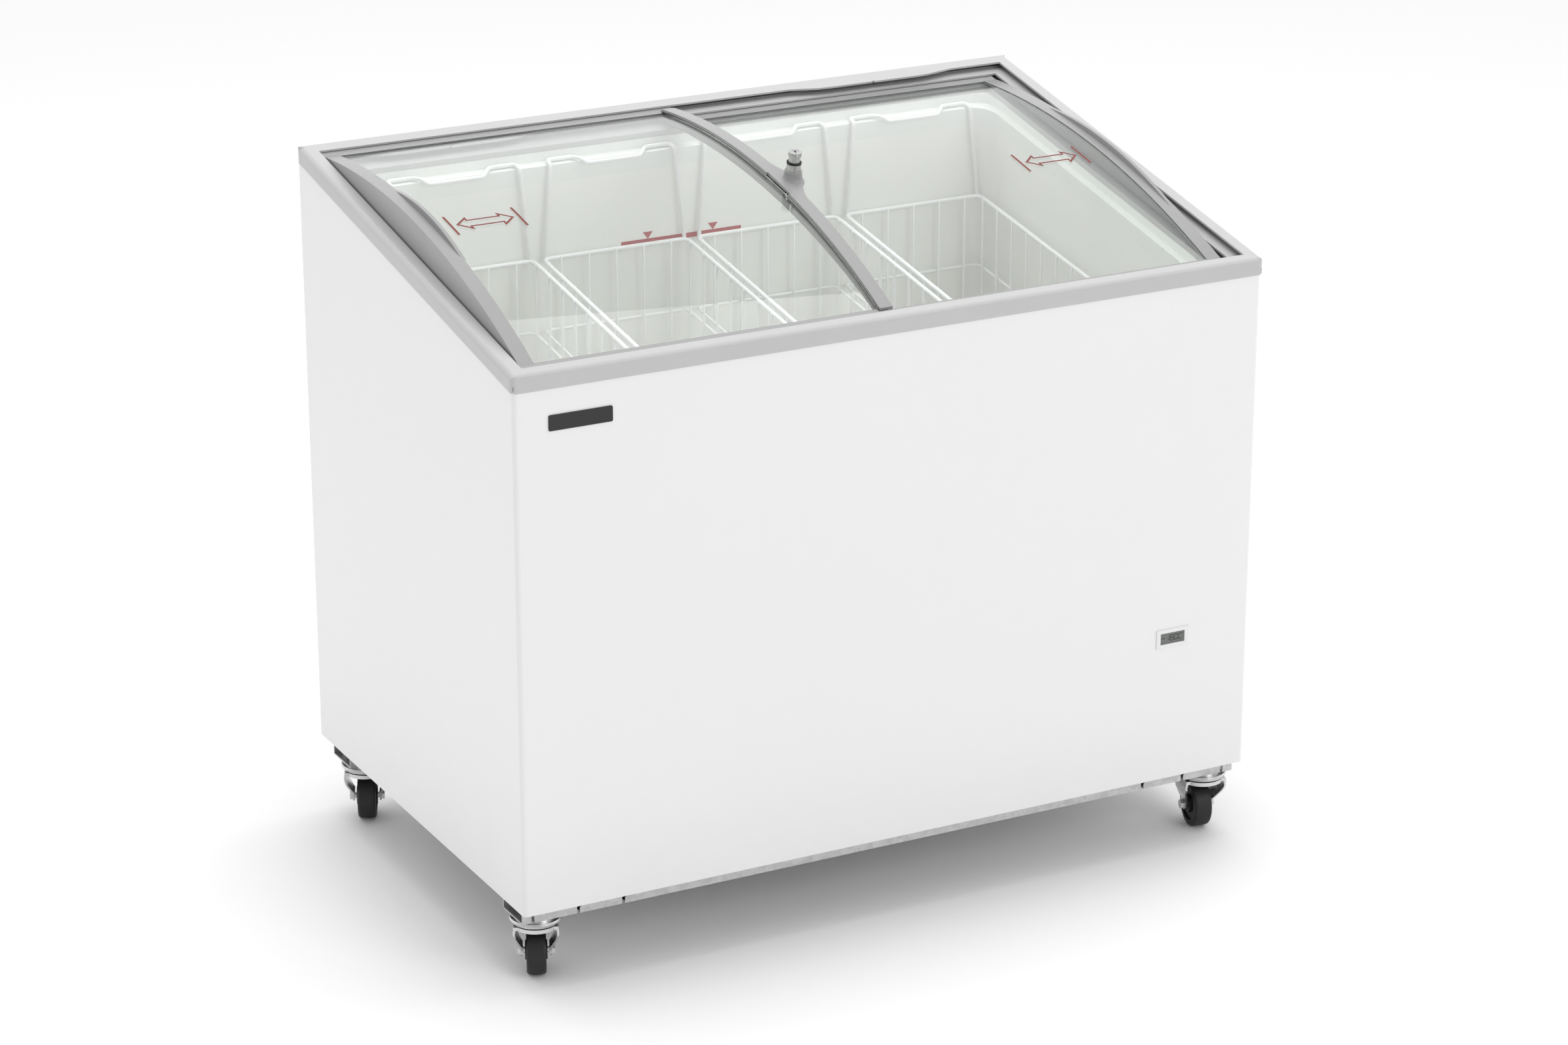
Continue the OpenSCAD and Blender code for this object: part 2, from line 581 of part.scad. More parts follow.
// Top race, ball housing, kingpin and its nut, one set at each corner.
module castor_mounts() color("silver") for (p = castor_at) translate([p[0], p[1], 0]) {
  translate([0, 0, 83.5]) cylinder(d = 52, h = 2.5, $fn = 64);
  rotate_extrude($fn = 96) polygon([[4, 83.6], [31, 83.6], [32, 81], [30, 77.5], [22, 75.6], [4, 75.6]]);
  translate([0, 0, 67.5]) cylinder(d = 10, h = 26, $fn = 48);
  translate([0, 0, 88]) cylinder(d = 17, h = 7, $fn = 6);
  translate([0, 0, 63.6]) cylinder(d = 18, h = 4, $fn = 48);
}
module castor_fork(i) {
  translate([castor_at[i][0], castor_at[i][1], 0]) rotate(castor_angles[i]) {
    difference() {
      union() {
        translate([0, 0, 70]) cylinder(d = 56, h = 5, $fn = 64);
        intersection() {
          // front outline of the fork, bowed in towards the axle
          rotate([90, 0, 0]) translate([0, 0, -40]) linear_extrude(80) difference() {
            polygon([[-27, 75], [-28, 66], [-26, 54], [-20.8, 41.5], [-18.5, 37.4], [-18.5, 24], [18.5, 24],
              [18.5, 37.4], [20.8, 41.5], [26, 54], [28, 66], [27, 75]]);
            polygon([[-24.5, 70.5], [-25.5, 65], [-23.6, 54.4], [-18.4, 42.2], [-16, 38], [-16, 20], [16, 20],
              [16, 38], [18.4, 42.2], [23.6, 54.4], [25.5, 65], [24.5, 70.5]]);
          }
          // side outline
          rotate([90, 0, 90]) translate([0, 0, -40]) linear_extrude(80) {
            polygon([[-18, 75], [-17, 62], [trail - 8.5, 32], [trail - 8, 27], [trail - 5, 24], [trail + 5, 24],
              [trail + 8, 27], [trail + 8.5, 32], [23, 58], [19, 75]]);
          }
        }
      }
      translate([0, 0, 60]) cylinder(d = 10.1, h = 20, $fn = 48);
      translate([0, 0, 60]) cylinder(d = 19, h = 7.8, $fn = 48);
      translate([-40, trail, wheel_d / 2]) rotate([0, 90, 0]) cylinder(d = 8, h = 80, $fn = 48);
    }
  }
}
module castor_fork_fl() color("silver") castor_fork(0);
module castor_fork_fr() color("silver") castor_fork(1);
module castor_fork_rl() color("silver") castor_fork(2);
module castor_fork_rr() color("silver") castor_fork(3);
module at_wheel(i) {
  translate([castor_at[i][0], castor_at[i][1], 0]) rotate(castor_angles[i])
    translate([0, trail, wheel_d / 2]) rotate([0, 90, 0]) children();
}
module castor_wheel(i) {
  r = wheel_d / 2;
  h = wheel_w / 2;
  at_wheel(i) rotate_extrude($fn = 96) difference() {
    union() {
      translate([4.05, -h - 1.5]) square([8, wheel_w + 3]);
      translate([4.05, -h + 3]) square([r - 8, wheel_w - 6]);
      translate([r - 8, -h]) square([4, wheel_w]);
      translate([r - 8, -h + 4]) square([8, wheel_w - 8]);
      for (s = [-1, 1]) translate([r - 4, s * (h - 4)]) circle(4, $fn = 48);
    }
    translate([-5, -40]) square([9.05, 80]);
  }
}
module castor_wheel_fl() color("black") castor_wheel(0);
module castor_wheel_fr() color("black") castor_wheel(1);
module castor_wheel_rl() color("black") castor_wheel(2);
module castor_wheel_rr() color("black") castor_wheel(3);
module castor_axle(i) {
  color("silver") at_wheel(i) {
    translate([0, 0, -20]) cylinder(d = 8, h = 40, $fn = 48);
    translate([0, 0, -22.5]) cylinder(d = 13, h = 3.9, $fn = 6);
    translate([0, 0, 18.6]) cylinder(d = 13, h = 3.9, $fn = 6);
  }
}

// ---- machine room
module side_vent_grille() color("gainsboro") difference() {
  union() {
    box(body_w / 2, body_w / 2 + 1.4, -156, 56, 144, 306);
    box(body_w / 2 - 8, body_w / 2 + 0.5, -149.8, 49.8, 150.2, 299.8);
  }
  for (i = [0 : 10]) box(body_w / 2 - 20, body_w / 2 + 5, -142, 42, 158 + i * 12.4, 165 + i * 12.4);
  box(body_w / 2 - 20, body_w / 2 - 2, -146, 46, 154, 296);
}
module service_cover() color("gainsboro") difference() {
  union() {
    // recessed tray with a flange on the panel
    box(272.2, 487.8, 304, 305.2, 112.2, 343.8);
    box(272.2, 273.4, 304, body_d / 2, 112.2, 343.8);
    box(486.6, 487.8, 304, body_d / 2, 112.2, 343.8);
    box(272.2, 487.8, 304, body_d / 2, 112.2, 113.4);
    box(272.2, 487.8, 304, body_d / 2, 342.6, 343.8);
    difference() {
      box(262, 498, body_d / 2, body_d / 2 + 1, 104.5, 354);
      box(273, 487, body_d / 2 - 5, body_d / 2 + 5, 113, 343);
    }
  }
  for (i = [0 : 8]) box(300, 400, 300, 310, 140 + i * 14, 146 + i * 14);
  translate([452, 300, 300]) rotate([-90, 0, 0]) cylinder(d = 12, h = 10, $fn = 48);
  translate([452, 300, 140]) rotate([-90, 0, 0]) cylinder(d = 16.2, h = 10, $fn = 48);
  for (p = screw_at) translate([p[0], body_d / 2 - 5, p[1]]) rotate([-90, 0, 0]) cylinder(d = 3.6, h = 10, $fn = 32);
}
module service_screws() color("silver")
  for (p = screw_at)
    translate([p[0], body_d / 2, p[1]]) rotate([-90, 0, 0]) {
      translate([0, 0, -7]) cylinder(d = 3.5, h = 7.2, $fn = 32);
      translate([0, 0, 1]) cylinder(d = 7, h = 0.4, $fn = 32);
      translate([0, 0, 0]) cylinder(d = 3.5, h = 1.1, $fn = 32);
    }
module compressor() color("black") translate([385, -150, 0]) {
  rotate_extrude($fn = 96) polygon([[0, 134], [48, 134], [60, 140], [66, 152], [66, 196], [68, 197], [68, 201],
    [66, 202], [64, 232], [56, 252], [36, 266], [0, 270]]);
  translate([-80, -52, 131]) cube([160, 104, 3.5]);
  translate([-50, 40, 230]) rotate([-90, 0, 0]) cylinder(d = 8, h = 40, $fn = 32);
  translate([30, 40, 180]) rotate([-90, 0, 0]) cylinder(d = 8, h = 50, $fn = 32);
}
module compressor_feet() color("dimgray")
  for (x = [-68, 68], y = [-40, 40]) translate([385 + x, -150 + y, 0]) {
    translate([0, 0, base_z + 1]) cylinder(d = 22, h = 130.9 - base_z - 1, $fn = 48);
    translate([0, 0, 134.6]) cylinder(d = 16, h = 5, $fn = 48);
  }
module condenser_coil() color("dimgray") {
  for (i = [0 : 15]) box(290 + i * 11, 291 + i * 11, 130, 180, 125, 305);
  for (z = [140, 175, 210, 245, 280]) for (y = [142, 168])
    translate([284, y, z]) rotate([0, 90, 0]) cylinder(d = 9, h = 177, $fn = 32);
}
module fan_bracket() color("gray") difference() {
  union() {
    difference() {
      box(292, 453, 190, 192, 125, 305);
      translate([372, 180, 215]) rotate([-90, 0, 0]) cylinder(d = 146, h = 20, $fn = 96);
    }
    for (a = [0, 120, 240]) translate([372, 191, 215]) rotate([0, a, 0]) translate([-3, -1, 0]) cube([6, 32, 80]);
    translate([372, 211, 215]) rotate([-90, 0, 0]) cylinder(d = 56, h = 34, $fn = 64);
  }
  translate([372, 180, 215]) rotate([-90, 0, 0]) cylinder(d = 8, h = 48, $fn = 48);
  translate([372, 180, 215]) rotate([-90, 0, 0]) cylinder(d = 148, h = 31, $fn = 96);
}
module fan_blade() color("lightgray") translate([372, 196, 215]) rotate([-90, 0, 0]) {
  cylinder(d = 36, h = 8, $fn = 64);
  translate([0, 0, 4]) cylinder(d = 7.9, h = 20, $fn = 48);
  for (a = [0 : 72 : 288]) rotate(a) translate([14, -13.7, -1.5]) rotate([24, 0, 0]) translate([0, 0, -0.8])
    cube([52, 30, 1.6]);
}
module filter_drier() color("peru") translate([300, -40, 0]) {
  translate([0, 0, 130]) cylinder(d = 20, h = 110, $fn = 48);
  translate([0, 0, 110]) cylinder(d = 6, h = 150, $fn = 32);
}
module thermostat_body() color("gray") difference() {
  box(432, 472, 276, 303.8, 280, 320);
  translate([452, 270, 300]) rotate([-90, 0, 0]) cylinder(d = 6.2, h = 40, $fn = 48);
}
module thermostat_knob() color("white") translate([452, 0, 300]) rotate([-90, 0, 0]) {
  translate([0, 0, 280]) cylinder(d = 6, h = 30, $fn = 48);
  difference() {
    translate([0, 0, 306]) cylinder(d = 30, h = 11, $fn = 64);
    translate([-1, 4, 316]) cube([2, 12, 3]);
  }
}
module cable_gland() color("dimgray") translate([452, 0, 140]) rotate([-90, 0, 0]) difference() {
  union() {
    translate([0, 0, 296]) cylinder(d = 16, h = 14, $fn = 48);
    translate([0, 0, 305.2]) cylinder(d = 24, h = 5, $fn = 6);
    translate([0, 0, 298]) cylinder(d = 22, h = 6, $fn = 6);
  }
  translate([0, 0, 290]) cylinder(d = 9, h = 30, $fn = 48);
}
module castor_axle_fl() castor_axle(0);
module castor_axle_fr() castor_axle(1);
module castor_axle_rl() castor_axle(2);
module castor_axle_rr() castor_axle(3);

cabinet_shell();
rear_panel();
bottom_pan();
foam_insulation();
evaporator_coil();
inner_liner();
liner_collar();
rim_front();
rim_rear();
rim_left();
rim_right();
lid_bumpers();
left_lid_frame();
left_lid_glass();
left_lid_glides();
left_lid_arrow();
right_lid_frame();
right_lid_glass();
right_lid_glides();
right_lid_arrow();
lock_housing();
lock_plunger();
lock_core();
basket_1();
basket_2();
basket_3();
basket_4();
badge_plate();
display_bezel();
display_module();
load_line_mark();
drain_plug();
drain_tube();
front_base_rail();
rear_base_rail();
castor_mounts();
castor_fork_fl();
castor_fork_fr();
castor_fork_rl();
castor_fork_rr();
castor_wheel_fl();
castor_wheel_fr();
castor_wheel_rl();
castor_wheel_rr();
castor_axle_fl();
castor_axle_fr();
castor_axle_rl();
castor_axle_rr();
side_vent_grille();
service_cover();
service_screws();
compressor();
compressor_feet();
condenser_coil();
fan_bracket();
fan_blade();
filter_drier();
thermostat_body();
thermostat_knob();
cable_gland();
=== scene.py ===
import math

import bpy
import numpy as np
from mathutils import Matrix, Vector


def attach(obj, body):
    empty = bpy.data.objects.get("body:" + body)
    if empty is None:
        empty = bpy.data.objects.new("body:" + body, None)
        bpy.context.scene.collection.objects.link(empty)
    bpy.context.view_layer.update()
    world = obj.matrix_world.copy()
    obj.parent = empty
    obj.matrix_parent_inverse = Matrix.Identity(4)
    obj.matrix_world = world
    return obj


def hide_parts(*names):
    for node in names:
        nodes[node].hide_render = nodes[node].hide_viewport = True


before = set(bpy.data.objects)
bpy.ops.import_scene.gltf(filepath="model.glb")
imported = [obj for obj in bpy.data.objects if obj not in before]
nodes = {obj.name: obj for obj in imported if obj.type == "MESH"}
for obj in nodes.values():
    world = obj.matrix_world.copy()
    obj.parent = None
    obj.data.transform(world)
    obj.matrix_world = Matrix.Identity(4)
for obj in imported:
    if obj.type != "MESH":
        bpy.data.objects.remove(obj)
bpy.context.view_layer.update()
rootBody = "cabinet"

# the sloping frame of the top: x across, v up the slope, w out of the top, all in metres
slope = {"angle": math.radians(10.6), "midHeight": 0.8388}
# the rim's two sliding tracks: depths of the floors under the rim, and the part of the plan that they lie in
track = {"upperFloor": 0.0097, "lowerFloor": 0.0195, "lip": 0.0027, "floorGap": 0.0004,
         "halfWidth": 0.5005, "front": -0.3145, "rear": 0.308}
# the web that hangs under the arched cap of the left lid's meeting stile, where shade is painted on the frame
web = {"left": -0.0205, "right": -0.0085, "crown": 0.0372, "midDepth": -0.005, "twoRadii": 2.182}
# heights of the dark band at the mouth of the lock's sleeve
sleeve = {"ringFoot": 0.0614, "ringTop": 0.0637}


class Val:
    # a number that runs through a material's nodes, so that sums of values add Math nodes
    def __init__(self, paint, socket):
        self.paint, self.socket = paint, socket

    def math(self, kind, other=None, swap=False, clamp=False):
        pair = [self] if other is None else ([other, self] if swap else [self, other])
        inputs = {i: (p.socket if isinstance(p, Val) else p) for i, p in enumerate(pair)}
        return self.paint.add("ShaderNodeMath", {"operation": kind, "use_clamp": clamp}, inputs)

    def __add__(self, o): return self.math("ADD", o)
    def __radd__(self, o): return self.math("ADD", o)
    def __sub__(self, o): return self.math("SUBTRACT", o)
    def __rsub__(self, o): return self.math("SUBTRACT", o, True)
    def __mul__(self, o): return self.math("MULTIPLY", o)
    def __rmul__(self, o): return self.math("MULTIPLY", o)
    def __truediv__(self, o): return self.math("DIVIDE", o)
    def above(self, o): return self.math("GREATER_THAN", o)
    def below(self, o): return self.math("LESS_THAN", o)
    def clamped(self): return self.math("ADD", 0.0, clamp=True)


class Paint:
    # one material: add() makes a node from its type, its settings and its socket values or links
    def __init__(self, name):
        self.material = bpy.data.materials.new(name)
        self.material.use_nodes = True
        self.tree = self.material.node_tree
        self.tree.nodes.clear()
        self.out = self.tree.nodes.new("ShaderNodeOutputMaterial")
        self.place = self.add("ShaderNodeTexCoord", {}, {}, "Object")

    def add(self, kind, settings, inputs, output=0):
        node = self.tree.nodes.new(kind)
        for key, value in settings.items():
            if key == "stops":
                ramp = node.color_ramp
                while len(ramp.elements) < len(value):
                    ramp.elements.new(0.5)
                for stop, (at, shade) in zip(ramp.elements, value):
                    stop.position = at
                    stop.color = (*shade, 1.0) if isinstance(shade, tuple) else (shade, shade, shade, 1.0)
            else:
                setattr(node, key, value)
        for key, value in inputs.items():
            socket = node.inputs[key]
            if isinstance(value, Val):
                self.tree.links.new(value.socket, socket)
            elif isinstance(value, bpy.types.NodeSocket):
                self.tree.links.new(value, socket)
            else:
                socket.default_value = value
        return Val(self, node.outputs[output])

    def noise(self, scale, detail=2.0, rough=0.5, stretch=None):
        place = self.place
        if stretch:
            place = self.add("ShaderNodeMapping", {}, {"Vector": place, "Scale": stretch})
        inputs = {"Vector": place, "Scale": scale, "Detail": detail, "Roughness": rough}
        return self.add("ShaderNodeTexNoise", {}, inputs, "Fac")

    def axis(self, name):
        return self.add("ShaderNodeSeparateXYZ", {}, {"Vector": self.place}, name)

    def ramp(self, value, stops):
        return self.add("ShaderNodeValToRGB", {"stops": stops}, {"Fac": value})

    def mix(self, factor, a, b):
        return self.add("ShaderNodeMix", {"data_type": "RGBA"}, {0: factor, 6: a, 7: b}, 2)

    def bump(self, height, strength, distance):
        return self.add("ShaderNodeBump", {}, {"Height": height, "Strength": strength, "Distance": distance})

    def finish(self, inputs):
        shader = self.add("ShaderNodeBsdfPrincipled", {}, inputs, "BSDF")
        self.tree.links.new(shader.socket, self.out.inputs["Surface"])
        return self.material


def rgb(r, g, b):
    return (r, g, b, 1.0)


def grey(level, blue=0.0):
    return (level - blue * 0.5, level, level + blue, 1.0)


def paintedSteel(name, shade, rough=0.34, peel=0.5, soil=0.25, coat=0.25):
    # sprayed coat: fine orange peel, slow drift of shade, a little soil low down
    p = Paint(name)
    drift = p.noise(3.0, 3.0)
    peelHeight = p.noise(420.0, 2.0, 0.55)
    low = (1.0 - (p.axis("Z") - 0.1) * 9.0).clamped()
    dust = low * p.noise(14.0, 6.0, 0.65) * soil
    clean = p.mix(drift, tuple([c * 0.985 for c in shade[:3]] + [1.0]), shade)
    colour = p.mix(dust, clean, tuple([c * 0.78 for c in shade[:3]] + [1.0]))
    return p.finish({
        "Base Color": colour, "Roughness": p.noise(38.0, 4.0) * 0.1 + (rough - 0.05) + dust * 0.3,
        "Coat Weight": coat, "Coat Roughness": 0.16,
        "Normal": p.bump(peelHeight, peel * 0.12, 0.0004)})


def slopeHeight(p):
    # distance above the lid plane, in metres: z cos(a) - y sin(a), less the plane's own height
    c, s = math.cos(slope["angle"]), math.sin(slope["angle"])
    return (p.axis("Z") - slope["midHeight"]) * c - p.axis("Y") * s


def slopeDepth(p):
    # distance up the slope from the middle of the lid plane: y cos(a) + z sin(a)
    c, s = math.cos(slope["angle"]), math.sin(slope["angle"])
    return p.axis("Y") * c + (p.axis("Z") - slope["midHeight"]) * s


def webPaintedShade(p):
    # painted shade: 1 on the web under the arched cap, where the height is less than
    # the crown's height - (depth - depth of the crown)^2 / (2 * the arch's radius)
    v = slopeDepth(p) - web["midDepth"]
    cap = web["crown"] - v * v / web["twoRadii"]
    under = (cap - slopeHeight(p)).above(0.0)
    return under * (p.axis("X") - web["left"]).above(0.0) * (p.axis("X") - web["right"]).below(0.0)


def trackSlotPaintedShade(p):
    # 1 on the walls inside the two track slots: painted shade for the deep recess, also standing for a black
    # brush strip
    w = slopeHeight(p)
    across = p.axis("X").math("ABSOLUTE")
    alongY = (track["rear"] - p.axis("Y")).above(0.0) * (p.axis("Y") - track["front"]).above(0.0)
    inside = (track["halfWidth"] - across).above(0.0) * alongY
    lip, gap = track["lip"], track["floorGap"]
    upper = (-lip - w).above(0.0) * (w + track["upperFloor"] - gap).above(0.0)
    lower = (-track["upperFloor"] - lip - w).above(0.0) * (w + track["lowerFloor"] - gap).above(0.0)
    return (upper + lower).clamped() * inside


def mouldedPlastic(name, shade, rough=0.42, grain=0.35, coat=0.0, brushed=None, wear=0.12, dark=None):
    # moulded or extruded plastic: fine grain and scuffs, with optional draw lines and an optional mask of
    # painted shade
    p = Paint(name)
    scuff = p.ramp(p.noise(60.0, 8.0, 0.7), [(0.52, 0.0), (0.7, 1.0)])
    drift = p.noise(9.0, 3.0)
    fine = p.noise(1400.0, 2.0, 0.6)
    height = fine
    if brushed:
        height = fine * 0.4 + p.noise(260.0, 3.0, 0.6, brushed)
    deep = tuple([c * 0.93 for c in shade[:3]] + [1.0])
    colour = p.mix(drift, deep, shade)
    colour = p.mix(scuff * wear, colour, tuple([min(1.0, c * 1.18 + 0.02) for c in shade[:3]] + [1.0]))
    # painted shade: where the mask is 1 the colour goes nearly black
    if dark:
        colour = p.mix(dark(p) * 0.93, colour, grey(0.025))
    return p.finish({
        "Base Color": colour, "Roughness": p.noise(120.0, 4.0) * 0.14 + (rough - 0.07) + scuff * 0.06,
        "Coat Weight": coat, "Coat Roughness": 0.2, "Normal": p.bump(height, grain, 0.0002)})


def sleeveDarkBand(p):
    # 1 on a dark band at the mouth of the lock's sleeve
    w = slopeHeight(p)
    return (w - sleeve["ringFoot"]).above(0.0) * (sleeve["ringTop"] - w).above(0.0)


def platedMetal(name, shade, rough=0.2, spangle=False, lines=None, dull=0.15, dark=None):
    # zinc or chrome plate: spangled crystals on galvanised sheet, fine polishing lines elsewhere
    p = Paint(name)
    cloud = p.noise(70.0, 5.0, 0.6)
    deep = tuple([c * (0.72 if spangle else 0.85) for c in shade[:3]] + [1.0])
    tone = cloud
    if spangle:
        crystals = {"Vector": p.place, "Scale": 150.0, "Randomness": 1.0}
        cells = p.add("ShaderNodeTexVoronoi", {}, crystals, "Color")
        tone = p.add("ShaderNodeSeparateColor", {}, {"Color": cells}, 0) * 0.7 + cloud * 0.3
    height = p.noise(900.0, 2.0) if lines is None else p.noise(500.0, 2.0, 0.5, lines)
    colour = p.mix(tone, deep, shade)
    metallic = 0.85 if spangle else 1.0
    dullness = tone * 0.16 + (rough - 0.04)
    if dark:
        ring = dark(p)
        colour = p.mix(ring, colour, grey(0.012))
        metallic = 1.0 - ring
        dullness = dullness + ring * 0.4
    return p.finish({
        "Base Color": colour, "Metallic": metallic,
        "Roughness": dullness + cloud * dull * 0.4,
        "Normal": p.bump(height, 0.18, 0.0002)})


def clearGlass(name, shade, ripple=0.02):
    # thin toughened sheet: clear with a faint green cast and a trace of wiping marks
    p = Paint(name)
    smear = p.noise(16.0, 6.0, 0.7, (1.0, 2.5, 1.0))
    p.finish({
        "Base Color": shade, "Roughness": smear * 0.015,
        "IOR": 1.45, "Transmission Weight": 1.0,
        "Normal": p.bump(p.noise(5.0, 2.0), ripple, 0.001)})
    sheet = p.out.inputs["Surface"].links[0].from_socket
    lamps = p.add("ShaderNodeLightPath", {}, {}, "Is Shadow Ray")
    bounce = p.add("ShaderNodeLightPath", {}, {}, "Is Diffuse Ray")
    clear = p.add("ShaderNodeBsdfTransparent", {}, {"Color": (0.97, 0.985, 0.98, 1.0)})
    both = p.add("ShaderNodeMixShader", {}, {0: lamps.math("MAXIMUM", bounce), 1: sheet, 2: clear})
    p.tree.links.new(both.socket, p.out.inputs["Surface"])
    return p.material


def blackRubber(name, level=0.012, rough=0.5):
    # moulded tyre: dull black with dust in the tread band
    p = Paint(name)
    dust = p.ramp(p.noise(90.0, 7.0, 0.7), [(0.45, 0.0), (0.75, 1.0)])
    return p.finish({
        "Base Color": p.mix(dust * 0.25, grey(level), grey(level * 4.5)), "Roughness": dust * 0.2 + rough,
        "Normal": p.bump(p.noise(800.0, 3.0), 0.3, 0.0002)})


def rigidFoam(name):
    p = Paint(name)
    cells = p.add("ShaderNodeTexVoronoi", {}, {"Vector": p.place, "Scale": 600.0}, "Distance")
    return p.finish({
        "Base Color": p.mix(p.noise(12.0, 4.0), rgb(0.62, 0.5, 0.24), rgb(0.75, 0.64, 0.36)),
        "Roughness": 0.9 - cells * 0.2, "Normal": p.bump(cells, 0.6, 0.0006)})


print("stage 1: materials")
cabinetWhite = paintedSteel("cabinetWhite", grey(0.82), coat=0.25)
panelGrey = paintedSteel("panelGrey", grey(0.5), 0.45, soil=0.4)
linerWhite = paintedSteel("linerWhite", rgb(0.91, 0.91, 0.875), 0.3, peel=0.3, soil=0.0)
collarWhite = mouldedPlastic("collarWhite", rgb(0.89, 0.905, 0.875), 0.3, 0.12, wear=0.03)
# rimSilver carries painted shade inside its two track slots
rimSilver = mouldedPlastic("rimSilver", grey(0.52), 0.34, 0.16, 0.15, (0.02, 1.0, 1.0), dark=trackSlotPaintedShade)
# lidSilver carries painted shade on the web under the meeting stile's cap; lidSilverRight has none
lidSilver = mouldedPlastic("lidSilver", grey(0.33), 0.33, 0.14, 0.2, dark=webPaintedShade)
lidSilverRight = mouldedPlastic("lidSilverRight", grey(0.33), 0.33, 0.14, 0.2)
galvanised = platedMetal("galvanised", grey(0.6), 0.36, spangle=True)
zincBright = platedMetal("zincBright", grey(0.68), 0.2)
lockChrome = platedMetal("lockChrome", grey(0.62), 0.07, dull=0.06)
sleeveChrome = platedMetal("sleeveChrome", grey(0.62), 0.09, dull=0.06, dark=sleeveDarkBand)
lidGlass = clearGlass("lidGlass", rgb(0.98, 0.995, 0.985))
wireWhite = mouldedPlastic("wireWhite", grey(0.92), 0.32, 0.1, 0.3, wear=0.03)
tyreBlack = blackRubber("tyreBlack", 0.007)
rubberBlack = blackRubber("rubberBlack", 0.015, 0.65)
badgeBlack = mouldedPlastic("badgeBlack", grey(0.004), 0.3, 0.05, 0.1, wear=0.02)
trimWhite = mouldedPlastic("trimWhite", grey(0.8), 0.3, 0.08, 0.2, wear=0.05)
lcdFace = mouldedPlastic("lcdFace", rgb(0.13, 0.14, 0.13), 0.25, 0.03, 0.4, wear=0.03)
segmentInk = mouldedPlastic("segmentInk", grey(0.012), 0.4, 0.03, wear=0.02)
printRed = mouldedPlastic("printRed", rgb(0.42, 0.012, 0.014), 0.4, 0.05, wear=0.05)
signRed = mouldedPlastic("signRed", rgb(0.2, 0.03, 0.022), 0.45, 0.05, wear=0.05)
plugWhite = mouldedPlastic("plugWhite", grey(0.8), 0.5, 0.2)
steelBlack = paintedSteel("steelBlack", grey(0.02), 0.4)
partBlack = mouldedPlastic("partBlack", grey(0.02), 0.5, 0.3)
copperTube = platedMetal("copperTube", rgb(0.75, 0.38, 0.22), 0.3)
finMetal = platedMetal("finMetal", grey(0.45), 0.4)
foamYellow = rigidFoam("foamYellow")

nodeFinish = {
    "cabinet_shell": cabinetWhite, "rear_panel": panelGrey, "bottom_pan": galvanised,
    "foam_insulation": foamYellow, "evaporator_coil": copperTube, "inner_liner": linerWhite,
    "liner_collar": collarWhite, "rim_front": rimSilver, "rim_rear": rimSilver, "rim_left": rimSilver,
    "rim_right": rimSilver, "lid_bumpers": rubberBlack, "left_lid_frame": lidSilver,
    "left_lid_glass": lidGlass, "left_lid_glides": plugWhite, "left_lid_arrow": signRed,
    "right_lid_frame": lidSilverRight, "right_lid_glass": lidGlass, "right_lid_glides": plugWhite,
    "right_lid_arrow": signRed, "lock_housing": sleeveChrome, "lock_plunger": lockChrome,
    "lock_core": lockChrome, "badge_plate": badgeBlack, "display_bezel": trimWhite,
    "display_module": lcdFace, "load_line_mark": printRed, "drain_plug": plugWhite,
    "drain_tube": plugWhite, "front_base_rail": galvanised, "rear_base_rail": galvanised,
    "castor_mounts": zincBright, "side_vent_grille": panelGrey, "service_cover": panelGrey,
    "service_screws": zincBright, "compressor": steelBlack, "compressor_feet": rubberBlack,
    "condenser_coil": finMetal, "fan_bracket": galvanised, "fan_blade": partBlack,
    "filter_drier": copperTube, "thermostat_body": partBlack, "thermostat_knob": plugWhite,
    "cable_gland": partBlack}
for i in (1, 2, 3, 4):
    nodeFinish[f"basket_{i}"] = wireWhite
for corner in ("fl", "fr", "rl", "rr"):
    nodeFinish["castor_fork_" + corner] = zincBright
    nodeFinish["castor_axle_" + corner] = zincBright
    nodeFinish["castor_wheel_" + corner] = tyreBlack
for name, material in nodeFinish.items():
    mesh = nodes[name].data
    mesh.materials.clear()
    mesh.materials.append(material)


def makePiece(name, points, faces, material, body, smooth=True):
    mesh = bpy.data.meshes.new(name)
    mesh.from_pydata(np.asarray(points).reshape(-1, 3).tolist(), [], faces)
    mesh.materials.append(material)
    mesh.polygons.foreach_set("use_smooth", [smooth] * len(mesh.polygons))
    mesh.update()
    piece = bpy.data.objects.new(name, mesh)
    bpy.context.scene.collection.objects.link(piece)
    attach(piece, body)
    return piece


def gridFaces(rows, columns):
    # quads of a grid whose columns run round and close on themselves
    r = np.arange(rows - 1)[:, None] * columns
    c = np.arange(columns)[None, :]
    nextR, nextC = r + columns, (c + 1) % columns
    quads = np.stack(np.broadcast_arrays(r + c, r + nextC, nextR + nextC, nextR + c), -1)
    return quads.reshape(-1, 4).tolist()


